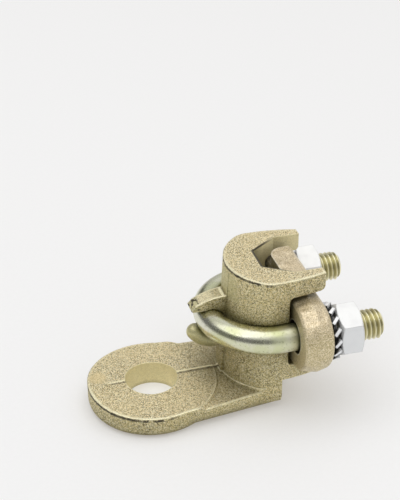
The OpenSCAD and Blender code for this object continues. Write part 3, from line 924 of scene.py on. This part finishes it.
class LUG_OT_u_bolt(bpy.types.Operator):
    """Sweep the plated U-bolt with its rolled threads"""

    bl_idname = "lug.u_bolt"
    bl_label = "U-bolt"

    def execute(self, context):
        look = context.scene.lug_bolt
        rod_r = look.rod_d / 2
        bolt = grow(
            "u_bolt_rod",
            u_bolt_tree(),
            {
                "Leg end": BOLT_HIGH.x,
                "Bow centre": BOLT_LOW.x + LEG_Y + rod_r,
                "Half spacing": LEG_Y,
                "Level": BOLT_LEVEL,
                "Rod radius": rod_r,
                "Thread radius": THREAD_R,
                "Thread length": look.thread_l,
                "Pitch": look.pitch,
                "End bevel": look.bevel,
                "Steps": look.steps,
                "Segments": look.segments,
                "Material": plating_material(look),
            },
        )
        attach(bolt, "lug")
        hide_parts("u_bolt")
        return {"FINISHED"}


class LUG_OT_hardware(bpy.types.Operator):
    """Finish the nuts and the toothed washers"""

    bl_idname = "lug.hardware"
    bl_label = "Nuts and washers"

    def execute(self, context):
        look = context.scene.lug_zinc
        nut = zinc_material("nut_zinc", look.nut, 0.3, look)
        washer = zinc_material("washer_zinc", look.washer, 1.0, look)
        for side in ("front", "rear"):
            dress(side + "_nut", nut)
            dress(side + "_washer", washer)
        return {"FINISHED"}


class LUG_OT_stage(bpy.types.Operator):
    """Set up the floor, the light and the camera"""

    bl_idname = "lug.stage"
    bl_label = "Stage"

    def execute(self, context):
        look = context.scene.lug_stage
        floor(look)
        sky(context.scene, look)
        softbox(look)
        camera(context.scene)
        context.scene.view_settings.view_transform = "Standard"
        return {"FINISHED"}


def floor(look):
    """Pale paper, whose shadows are lifted where the camera or a mirror sees it."""
    mesh = bpy.data.meshes.new("floor")
    corners = [(x * FLOOR_REACH, y * FLOOR_REACH, 0) for x, y in ((-1, -1), (1, -1), (1, 1), (-1, 1))]
    mesh.from_pydata(corners, [], [(0, 1, 2, 3)])
    made = bpy.data.objects.new("floor", mesh)
    made.location.z = cad_box[0][2]
    bpy.context.scene.collection.objects.link(made)
    paper, tree, shader = new_material("floor_paper")
    where = add(tree, "ShaderNodeTexCoord").outputs["Object"]
    fibre = remap(tree, noise(tree, where, 900.0), 0.3, 0.7)
    pale = tuple(part * 0.985 for part in look.floor)
    tree.links.new(mix_colour(tree, fibre, pale, look.floor), shader["Base Color"])
    shader["Roughness"].default_value = 0.85
    shader["Specular IOR Level"].default_value = 0.1
    path = add(tree, "ShaderNodeLightPath").outputs
    mirrored = calc(tree, "ADD", path["Is Glossy Ray"], path["Is Transmission Ray"])
    seen = calc(tree, "ADD", path["Is Camera Ray"], mirrored, clamp=True)
    glow = add(tree, "ShaderNodeEmission", {"Color": (*look.backdrop, 1.0)})
    both = add(tree, "ShaderNodeMixShader", {"Fac": product(tree, seen, look.floor_glow)})
    tree.links.new(tree.nodes["Principled BSDF"].outputs[0], both.inputs[1])
    tree.links.new(glow.outputs[0], both.inputs[2])
    tree.links.new(both.outputs[0], tree.nodes["Material Output"].inputs["Surface"])
    mesh.materials.append(paper)


def sky(scene, look):
    """Soft light from overhead, with a dark room low on the left and a pale wall low on the right."""
    world = bpy.data.worlds.new("studio")
    world.use_nodes = True
    scene.world = world
    tree = world.node_tree
    where = add(tree, "ShaderNodeTexCoord").outputs["Generated"]
    height = vector_calc(tree, "DOT_PRODUCT", where, SKY_SIDE)
    tent = remap(tree, height, *SKY_FADE, look.sky_low, look.sky_top)
    split = add(tree, "ShaderNodeSeparateXYZ", {"Vector": where})
    left = remap(tree, split.outputs["X"], *ROOM_SIDE)
    around = remap(tree, left, 0.0, 1.0, look.wall, look.room, smooth=False)
    low = band(tree, split.outputs["Z"], *ROOM_HEIGHT, 0.08)
    light = calc(tree, "ADD", tent, product(tree, low, calc(tree, "SUBTRACT", around, tent)))
    plain = tree.nodes["Background"].inputs
    plain["Color"].default_value = (1.0, 1.0, 1.0, 1.0)
    tree.links.new(light, plain["Strength"])


def softbox(look):
    """One wide lamp overhead, facing straight down."""
    lamp = bpy.data.lights.new("key_light", "AREA")
    lamp.shape = "RECTANGLE"
    lamp.size = look.key_width
    lamp.size_y = look.key_depth
    lamp.energy = look.key_power
    made = bpy.data.objects.new("key_light", lamp)
    made.location = KEY_PLACE
    bpy.context.scene.collection.objects.link(made)


def camera(scene):
    """The photograph's camera."""
    lens = bpy.data.cameras.new("camera")
    lens.lens = CAMERA_LENS
    lens.sensor_width = 36.0
    lens.clip_start = 0.01
    lens.clip_end = 20.0
    made = bpy.data.objects.new("camera", lens)
    turned = Matrix((CAMERA_RIGHT, CAMERA_UP, [-part for part in CAMERA_AHEAD])).transposed()
    made.matrix_world = Matrix.Translation(CAMERA_PLACE) @ turned.to_4x4()
    scene.collection.objects.link(made)
    scene.camera = made


class LUG_PT_panel(bpy.types.Panel):
    """Lists the lug's pieces and their sizes"""

    bl_idname = "LUG_PT_panel"
    bl_label = "Cable lug"
    bl_space_type = "VIEW_3D"
    bl_region_type = "UI"
    bl_category = "Cable lug"

    def draw(self, context):
        for operator in OPERATORS:
            self.layout.operator(operator.bl_idname)
        for name, group in GROUPS.items():
            box = self.layout.box()
            for key in group.__annotations__:
                box.prop(getattr(context.scene, name), key)


OPERATORS = (LUG_OT_cast_body, LUG_OT_saddle, LUG_OT_u_bolt, LUG_OT_hardware, LUG_OT_stage)
CLASSES = (*GROUPS.values(), *OPERATORS, LUG_PT_panel)


def register():
    for kind in CLASSES:
        bpy.utils.register_class(kind)
    for name, group in GROUPS.items():
        setattr(bpy.types.Scene, name, bpy.props.PointerProperty(type=group))


def unregister():
    for name in GROUPS:
        delattr(bpy.types.Scene, name)
    for kind in reversed(CLASSES):
        bpy.utils.unregister_class(kind)


def main():
    register()
    bpy.ops.lug.cast_body()
    bpy.ops.lug.saddle()
    bpy.ops.lug.u_bolt()
    bpy.ops.lug.hardware()
    bpy.ops.lug.stage()


if __name__ == "__main__":
    main()
